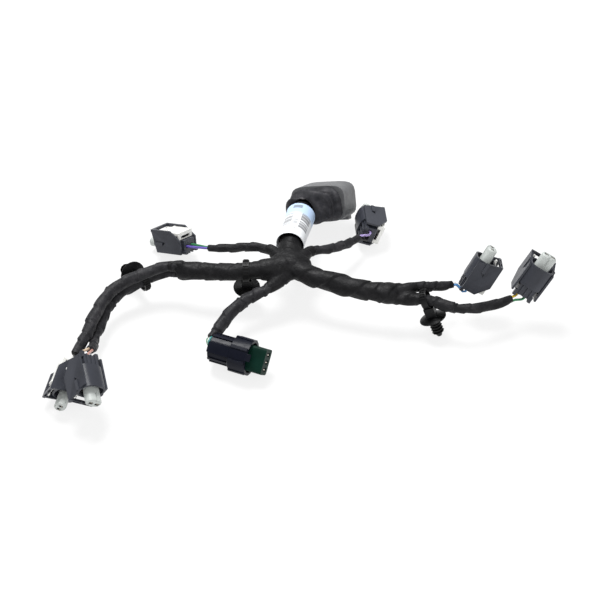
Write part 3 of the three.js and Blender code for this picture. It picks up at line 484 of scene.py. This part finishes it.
def plain_tube(points, start, end):
    """A smooth tube from one radius to another, in millimetres."""
    line, s = curve_through(points, 2.0)
    radius = np.interp(s, [0, s[-1]], [start, end])[:, None] * np.ones((1, LOOM_SIDES))
    return tube_shape(line + SHIFT, radius, LOOM_SIDES)


def leg_root(name, reach, grow, full=0.0):
    """The first stretch of a leg, thicker, as the tape runs over it.

    It is thicker by grow for the share called full, and comes down to the leg from there to reach.
    """
    diameter, _, route = LEGS[name]
    line, s = curve_through(route, 1.0)
    keep = s <= reach
    radius = np.interp(s[keep], [full * reach, reach], [diameter / 2 + grow, diameter / 2 + 0.35])
    return tube_shape(line[keep] + SHIFT, radius[:, None] * np.ones((1, LOOM_SIDES)), LOOM_SIDES)


def ball(centre, size):
    """A lump as wide as size each way, in millimetres."""
    mesh = bmesh.new()
    bmesh.ops.create_icosphere(mesh, subdivisions=3, radius=0.5)
    mesh.verts.ensure_lookup_table()
    verts = [np.array(v.co) * size + np.array(centre) + SHIFT for v in mesh.verts]
    faces = [tuple(v.index for v in f.verts) for f in mesh.faces]
    mesh.free()
    return np.array(verts), faces


def joined(parts):
    verts, faces, base = [], [], 0
    for part_verts, part_faces in parts:
        verts.append(part_verts)
        faces += [tuple(i + base for i in f) for f in part_faces]
        base += len(part_verts)
    return np.concatenate(verts), faces


def remeshed(obj, voxel, smoothing):
    modifier = obj.modifiers.new("melt", "REMESH")
    modifier.mode = "VOXEL"
    modifier.voxel_size = voxel
    smooth = obj.modifiers.new("smooth", "SMOOTH")
    smooth.iterations = smoothing
    smooth.factor = 0.5
    depsgraph = bpy.context.evaluated_depsgraph_get()
    mesh = bpy.data.meshes.new_from_object(obj.evaluated_get(depsgraph))
    obj.modifiers.clear()
    old = obj.data
    obj.data = mesh
    bpy.data.meshes.remove(old)
    mesh.shade_smooth()


# Each guide: route, how thick the loom is there, tape pitch and seed
GUIDES = [
    (LEFT_TRUNK, 7.0, 17.0, 3.1),
    (RIGHT_TRUNK, 7.2, 16.0, 7.7),
    (MAIN_STUB + STUB_END[1:], 9.0, 14.0, 5.2),
]
JUNCTION = np.array([-9.0, 1.0, 34.5])
JUNCTION_REACH = np.array([21, 17, 14])

# Bands across the junction: direction, pitch and seed
BANDS = [((0.85, 0.45, 0.3), 9.5, 1.0), ((0.35, -0.8, 0.5), 12.5, 4.0)]
BAND_HEIGHT = 0.75

# Under the label the tape lies flat
LABEL_MIDDLE = np.array([-3.5, 56, 30.5])
LABEL_REACH = 30
TAPE_UNDER_LABEL = 0.1


def tape_over(verts):
    """How far each vertex of the melted loom moves out for the turns of tape."""
    best = np.full(len(verts), 1e9)
    height = np.zeros(len(verts))
    for route, thick, pitch, seed in GUIDES:
        line, s = curve_through(route, 1.0)
        tangent, across, lift = frames_along(line)
        away = np.linalg.norm(verts[:, None, :] - line[None, :, :], axis=2)
        near = away.argmin(axis=1)
        gap = away[np.arange(len(verts)), near] / thick
        out = verts - line[near]
        theta = np.arctan2((out * lift[near]).sum(1), (out * across[near]).sum(1))
        along = s[near] + (out * tangent[near]).sum(1)
        value = tape_height(along, theta, seed, pitch, LOOM_TAPE_STEP, LOOM_TAPE_SLANT)
        closer = gap < best
        best = np.where(closer, gap, best)
        height = np.where(closer, value, height)
    centre = verts - JUNCTION
    close = np.clip(1.25 - np.linalg.norm(centre / JUNCTION_REACH, axis=1), 0, 1)
    bands = np.zeros(len(verts))
    for direction, pitch, seed in BANDS:
        along = centre @ (np.array(direction) / np.linalg.norm(direction))
        phase = along / pitch + 0.2 * wave(centre[:, 1] / 9 + centre[:, 0] / 14, seed)
        part = phase - np.floor(phase)
        bands += BAND_HEIGHT * np.where(part < 0.9, part / 0.9, (1 - part) / 0.1) - 0.35
    return height * (1 - close * 0.7) + bands * close


def make_main_loom():
    parts = [
        plain_tube(LEFT_TRUNK, 7.2, 6.7),
        plain_tube(LEFT_SHOULDER, 10.2, 8.2),
        plain_tube(RIGHT_TRUNK[:-1], 8.2, 7.3),
        plain_tube(MAIN_STUB, 8.6, 8.0),
        plain_tube(STUB_END, 9.8, 9.8),
        ball(JUNCTION, np.array([35, 25, 21])),
        leg_root("rear_left_leg", 24, 2.6),
        leg_root("rear_right_leg", 24, 2.6),
        leg_root("sensor_leg", 26, 3.2),
        leg_root("front_outer_leg", 12, 0.6),
        leg_root("front_inner_leg", 12, 0.6),
        leg_root("right_inner_leg", 24, 1.5, 0.7),
        leg_root("right_outer_leg", 26, 1.5, 0.9),
        ball((65, -27.4, 30.6), np.array([21, 18.5, 17.5])),
        ball((76, -27.6, 30.8), np.array([20, 10, 8])),
    ]
    verts, faces = joined(parts)
    loom = new_object("main_loom_taped", verts * MM, faces, TAPE)
    remeshed(loom, LOOM_VOXEL, LOOM_SMOOTHING)
    mesh = loom.data
    mesh.materials.clear()
    mesh.materials.append(TAPE)
    count = len(mesh.vertices)
    flat = np.empty(count * 3)
    mesh.vertices.foreach_get("co", flat)
    co = flat.reshape(-1, 3)
    normals = np.array([v.normal for v in mesh.vertices])
    move = tape_over(co / MM - SHIFT)
    label = np.linalg.norm((co / MM - SHIFT) - LABEL_MIDDLE, axis=1) < LABEL_REACH
    move = np.where(label, np.minimum(move, TAPE_UNDER_LABEL), move)
    co = co + normals * (move * MM)[:, None]
    mesh.vertices.foreach_set("co", co.ravel())
    mesh.update()
    mesh.shade_smooth()
    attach(loom, BODY)
    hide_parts("main_loom")


make_main_loom()


# Label sleeve: a wrapped sheet with an overlapping edge, generic grey bars and a pale blue end


# Rows along the label, share of them that is dark, window along, window around, strength
LABEL_MARKS = [
    (80, 0.6, 0.24, 0.44, 0.415, 0.53, 1.0),
    (80, 0.6, 0.48, 0.70, 0.415, 0.53, 1.0),
    (52, 0.5, 0.30, 0.66, 0.235, 0.335, 0.8),
    (61, 0.45, 0.14, 0.62, 0.355, 0.395, 0.6),
    (31, 0.7, 0.83, 0.94, 0.305, 0.395, 0.9),
]
INK = 0.8


def label_material():
    recipe = Recipe("label", (0.76, 0.78, 0.8), 0.42)
    uv = recipe.nodes.new("ShaderNodeUVMap")
    uv.uv_map = "sheet"
    split = recipe.nodes.new("ShaderNodeSeparateXYZ")
    recipe.links.new(uv.outputs["UV"], split.inputs[0])
    around, along = split.outputs["X"], split.outputs["Y"]

    def window(value, low, high):
        return recipe.math("MULTIPLY", recipe.math("GREATER_THAN", value, low),
                           recipe.math("LESS_THAN", value, high))

    def bars(scale, share, low, high, left, right):
        wobble = recipe.nodes.new("ShaderNodeTexWhiteNoise")
        wobble.noise_dimensions = "1D"
        cell = recipe.math("FLOOR", recipe.math("MULTIPLY", along, scale), 0)
        recipe.links.new(cell, wobble.inputs["W"])
        on = recipe.math("LESS_THAN", wobble.outputs["Value"], share)
        area = recipe.math("MULTIPLY", window(along, low, high), window(around, left, right))
        return recipe.math("MULTIPLY", on, area)

    field = recipe.ramp(along, [(0.60, (0.74, 0.76, 0.78)), (0.74, (0.47, 0.61, 0.82))])
    marks = 0.0
    for *place, strength in LABEL_MARKS:
        marks = recipe.math("MAXIMUM", marks, recipe.math("MULTIPLY", strength, bars(*place)))
    recipe.color(recipe.mix(recipe.math("MULTIPLY", marks, INK), field, (0.13, 0.13, 0.14)))
    recipe.roughness(recipe.range(recipe.noise(300), 0.34, 0.5))
    recipe.bump(recipe.noise(420, 4), 0.00025, 0.5)
    return recipe.material


LABEL_RADIUS = 11.3
LABEL_START = math.radians(-62)
LABEL_TURN = 1.16
LABEL_OVERLAP = 0.75  # how far the outer end of the turn lies over the inner one
LABEL_WAVE = 0.10
LABEL_LIP = 0.9
LABEL_FLARE = 1.1
LABEL_THICKNESS = 0.35 * MM
LABEL_SIDES = 72


def make_label():
    line, s = curve_through(LABEL_ROUTE, 0.8)
    tangent, across, lift = frames_along(line)
    angle = LABEL_START + np.linspace(0, 2 * math.pi * LABEL_TURN, LABEL_SIDES)
    share = np.linspace(0, 1, LABEL_SIDES)
    grid = []
    for i in range(len(line)):
        along = s[i] / s[-1]
        radius = LABEL_RADIUS - LABEL_OVERLAP + LABEL_OVERLAP * share
        radius = radius + LABEL_WAVE * np.sin(3 * angle + 5 * along)
        radius = radius + LABEL_LIP * np.exp(-s[i] / 5) * np.clip(np.sin(angle + 0.6), 0, 1)
        radius = radius + LABEL_FLARE * along
        ring = (np.cos(angle)[:, None] * across[i] + np.sin(angle)[:, None] * lift[i])
        grid.append(line[i] + ring * radius[:, None])
    verts = np.array(grid).reshape(-1, 3) + SHIFT
    faces = []
    for i in range(len(line) - 1):
        for j in range(LABEL_SIDES - 1):
            a = i * LABEL_SIDES + j
            faces.append((a, a + 1, a + LABEL_SIDES + 1, a + LABEL_SIDES))
    label = new_object("label_sheet", verts * MM, faces, label_material())
    layer = label.data.uv_layers.new(name="sheet")
    for loop in label.data.loops:
        i, j = divmod(loop.vertex_index, LABEL_SIDES)
        layer.data[loop.index].uv = (j / (LABEL_SIDES - 1), s[i] / s[-1])
    thick = label.modifiers.new("thickness", "SOLIDIFY")
    thick.thickness = LABEL_THICKNESS
    thick.offset = -1
    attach(label, BODY)
    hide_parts("label_sleeve")


make_label()


# Plug finishes on the CAD pieces

EDGE = 0.22 * MM
SMALL_EDGE = 0.15 * MM
WIDE_EDGE = 0.3 * MM
SHELL_EDGE = 0.5 * MM
EDGE_ANGLE = math.radians(32)


def finish(node, material, edge=EDGE):
    obj = NODES[node]
    obj.data.materials.clear()
    obj.data.materials.append(material)
    weld = obj.modifiers.new("weld", "WELD")
    weld.merge_threshold = 0.01 * MM
    if edge:
        bevel = obj.modifiers.new("edges", "BEVEL")
        bevel.width = edge
        bevel.segments = 2
        bevel.limit_method = "ANGLE"
        bevel.angle_limit = EDGE_ANGLE
        bevel.harden_normals = False
        bevel.use_clamp_overlap = True
    obj.data.shade_smooth()
    normals = obj.modifiers.new("normals", "WEIGHTED_NORMAL")
    normals.keep_sharp = False


for plug, colours in WIRE_ORDER.items():
    if plug != "sensor_plug":
        finish(plug + "_housing", HOUSING)
        finish(plug + "_nose", NOSE, WIDE_EDGE)
        finish(plug + "_slide_lock", LOCK)
        finish(plug + "_seal", SEAL, SMALL_EDGE)
    for i, colour in enumerate(colours):
        finish(f"{plug}_wire_{i + 1}", WIRES[colour], 0)
finish("sensor_plug_housing", ROUND, WIDE_EDGE)
finish("sensor_plug_contact_carrier", INSERT, WIDE_EDGE)
finish("main_plug_shell", SHELL, SHELL_EDGE)
finish("main_plug_contact_block", BLOCK)
for clip in ("left_clip", "middle_clip", "right_clip"):
    finish(clip, CLIP, SMALL_EDGE)


# Painted shade in the slots: near-black plates at the slot bottoms, with metal contacts, inside
# the noses and the round plug's carrier

GUARD_WIDTH = 21.5
FRONT_PAIR_PITCH = 1.16 * GUARD_WIDTH
FRONT_OUTER_REAR = np.array([-164.2, -93.1, 19.4])
FRONT_PAIR_DIRECTION = np.array([10.0, -14.1, 18.0])
FRONT_INNER_REAR = (FRONT_OUTER_REAR + FRONT_PAIR_DIRECTION
                    / np.linalg.norm(FRONT_PAIR_DIRECTION) * FRONT_PAIR_PITCH)

# Plug: middle of the rear, nose direction, slide lock direction
PLUG_PLACES = {
    "rear_left_plug": ([-90.4, 49.9, 15.9], [-0.84, 0.48, -0.26], [-0.07, 0.38, 0.92]),
    "rear_right_plug": ([55.6, 63.1, 15.6], [-0.06, 0.998, -0.03], [0.94, 0.05, -0.35]),
    "front_outer_plug": (FRONT_OUTER_REAR, [-0.23, -0.93, -0.3], [-0.87, 0.06, 0.49]),
    "front_inner_plug": (FRONT_INNER_REAR, [0.25, -0.91, -0.3], [-0.72, 0.03, -0.69]),
    "right_inner_plug": ([127.5, -16.7, 27.3], [0.48, 0.25, 0.84], [0.88, -0.21, -0.43]),
    "right_outer_plug": ([169.0, -23.8, 27.8], [0.49, 0.16, 0.86], [0.13, 0.96, -0.25]),
}
PLUG_LENGTH = 27.0
NOSE_REACH = 10.0
CONTACT_PITCH = 5.39

# The round plug's mouth, its nose and upward directions, and its carrier
SENSOR_MOUTH = [-36.5, -81.3, 13.8]
SENSOR_DIRECTIONS = ([0.92, -0.39, 0], [-0.285, -0.67, 0.686])
INSERT_REACH = 12.0
INSERT_SLOT_PITCH = 5.6

BOX_FACES = [(0, 1, 3, 2), (4, 6, 7, 5), (0, 4, 5, 1), (2, 3, 7, 6), (0, 2, 6, 4), (1, 5, 7, 3)]


def axes_of(forward, up):
    x = np.array(forward, float)
    x /= np.linalg.norm(x)
    y = np.cross(np.array(up, float), x)
    y /= np.linalg.norm(y)
    return np.array([x, y, np.cross(x, y)])


def placed_boxes(name, at, axes, boxes, material):
    """One piece made of boxes, each given as [x0, x1, y0, y1, z0, z1] in the plug's own frame."""
    verts, faces = [], []
    for x0, x1, y0, y1, z0, z1 in boxes:
        base = len(verts)
        corners = [(x, y, z) for x in (x0, x1) for y in (y0, y1) for z in (z0, z1)]
        verts += [(np.array(at) + np.array(c) @ axes + SHIFT) * MM for c in corners]
        faces += [tuple(base + i for i in face) for face in BOX_FACES]
    piece = new_object(name, verts, faces, material, smooth=False)
    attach(piece, BODY)


def make_contacts():
    for plug, (rear, nose, lock) in PLUG_PLACES.items():
        axes = axes_of(nose, lock)
        mouth = np.array(rear) + axes[0] * PLUG_LENGTH
        x = NOSE_REACH
        dark, metal = [], []
        for side in (-1, 1):
            y = side * CONTACT_PITCH / 2
            # A near-black plate: painted shade at the bottom of each slot
            dark.append((x - 2.4, x - 0.5, y - 1.8, y + 1.8, -1.28, 1.28))
            metal.append((x - 0.6, x - 0.15, y - 1.0, y + 1.0, -0.75, -0.4))
        placed_boxes(plug + "_slot_shade_plates", mouth, axes, dark, SLOT_SHADE)
        placed_boxes(plug + "_contacts", mouth, axes, metal, METAL)
    axes = axes_of(*SENSOR_DIRECTIONS)
    dark, metal = [], []
    for i in range(3):
        y = (i - 1) * INSERT_SLOT_PITCH
        x = INSERT_REACH
        # A near-black plate: painted shade at the bottom of each slot
        dark.append((x - 2.6, x - 0.6, y - 1.45, y + 1.45, -2.9, 2.9))
        metal.append((x - 0.7, x - 0.3, y - 0.3, y + 0.3, -1.6, 1.6))
    placed_boxes("sensor_plug_slot_shade_plates", SENSOR_MOUTH, axes, dark, SLOT_SHADE)
    placed_boxes("sensor_plug_contacts", SENSOR_MOUTH, axes, metal, METAL)


make_contacts()


# Boot behind the main plug: stretched, folded tape

BOOT_VOXEL = 0.9 * MM
BOOT_SMOOTHING = 3
BOOT_DIRECTION = np.array([0.37, 0.825, -0.425])
BOOT_SIDE = np.array([0.93, -0.26, 0.26])
FOLD_PITCH = 8.5
FOLD_RISE = 0.8  # share of the pitch over which a fold rises
FOLD_HEIGHT = 3.7
FOLD_SINK = 2.3


def make_boot():
    source = NODES["main_plug_boot"]
    verts = np.array([v.co for v in source.data.vertices])
    faces = [tuple(p.vertices) for p in source.data.polygons]
    boot = new_object("main_plug_boot_taped", verts, faces, LIT_BOOT_TAPE)
    weld = boot.modifiers.new("weld", "WELD")
    weld.merge_threshold = 0.02 * MM
    remeshed(boot, BOOT_VOXEL, BOOT_SMOOTHING)
    mesh = boot.data
    mesh.materials.clear()
    mesh.materials.append(LIT_BOOT_TAPE)
    co = np.array([v.co for v in mesh.vertices])
    normals = np.array([v.normal for v in mesh.vertices])
    p = co / MM - SHIFT
    depth = p @ BOOT_DIRECTION
    across = p @ BOOT_SIDE
    wander = 2.6 * wave(across / 11, 2.0) + 1.2 * wave(p[:, 2] / 6, 1.0)
    part = (depth + wander + across * 0.16) / FOLD_PITCH
    part = part - np.floor(part)
    rise = np.where(part < FOLD_RISE, part / FOLD_RISE, (1 - part) / (1 - FOLD_RISE))
    folds = FOLD_HEIGHT * rise - FOLD_SINK
    folds += 0.6 * wave(across / 5 + depth / 3, 3.0)
    co = co + normals * (folds * MM)[:, None]
    mesh.vertices.foreach_set("co", co.ravel())
    mesh.update()
    mesh.shade_smooth()
    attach(boot, BODY)
    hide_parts("main_plug_boot")


make_boot()


# Floor and light

FLOOR_SIZE = 4.0
FLOOR_DROP = 0.0005
FLOOR_WHITE = 0.8  # how much of the floor's look is its own white; the rest carries the shadow


def seen_directly(recipe):
    """1 for rays from the camera and for mirrored and refracted rays, else 0."""
    path = recipe.nodes.new("ShaderNodeLightPath")
    seen = recipe.math("MAXIMUM", path.outputs["Is Camera Ray"], path.outputs["Is Glossy Ray"])
    return recipe.math("MAXIMUM", seen, path.outputs["Is Transmission Ray"])


def make_floor():
    half = FLOOR_SIZE / 2
    z = cad_box[0][2] - FLOOR_DROP
    corners = [(-half, -half, z), (half, -half, z), (half, half, z), (-half, half, z)]
    floor = new_object("floor", corners, [(0, 1, 2, 3)], smooth=False)
    recipe = Recipe("floor_paper", (0.92, 0.92, 0.92), 0.9)
    recipe.shader.inputs["Specular IOR Level"].default_value = 0.1
    white = recipe.nodes.new("ShaderNodeEmission")
    white.inputs["Color"].default_value = (1, 1, 1, 1)
    mixed = recipe.nodes.new("ShaderNodeMixShader")
    amount = recipe.math("MULTIPLY", seen_directly(recipe), FLOOR_WHITE)
    recipe.links.new(amount, mixed.inputs["Fac"])
    recipe.links.new(recipe.shader.outputs[0], mixed.inputs[1])
    recipe.links.new(white.outputs[0], mixed.inputs[2])
    output = recipe.nodes["Material Output"]
    recipe.links.new(mixed.outputs[0], output.inputs["Surface"])
    floor.data.materials.append(recipe.material)


WORLD_LIGHT = 0.5
TOP_LIGHT = 21
FRONT_LIGHT = 6


def area_light(name, location, size, power, target=(0, 0, 0.02)):
    data = bpy.data.lights.new(name, "AREA")
    data.shape = "DISK"
    data.size = size
    data.energy = power
    light = bpy.data.objects.new(name, data)
    light.location = location
    light.rotation_euler = (Vector(target) - Vector(location)).to_track_quat("-Z", "Y").to_euler()
    bpy.context.collection.objects.link(light)


def make_light():
    world = bpy.data.worlds.new("world")
    bpy.context.scene.world = world
    world.use_nodes = True
    nodes, links = world.node_tree.nodes, world.node_tree.links
    background = nodes["Background"]
    background.inputs["Color"].default_value = (1, 1, 1, 1)
    path = nodes.new("ShaderNodeLightPath")
    strength = nodes.new("ShaderNodeMapRange")
    strength.inputs["To Min"].default_value = WORLD_LIGHT
    strength.inputs["To Max"].default_value = 1.0
    links.new(path.outputs["Is Camera Ray"], strength.inputs["Value"])
    links.new(strength.outputs["Result"], background.inputs["Strength"])
    area_light("top_light", (-0.25, 0.45, 1.2), 0.6, TOP_LIGHT)
    area_light("front_light", (0.5, -1.1, 0.9), 0.7, FRONT_LIGHT)


make_floor()
make_light()
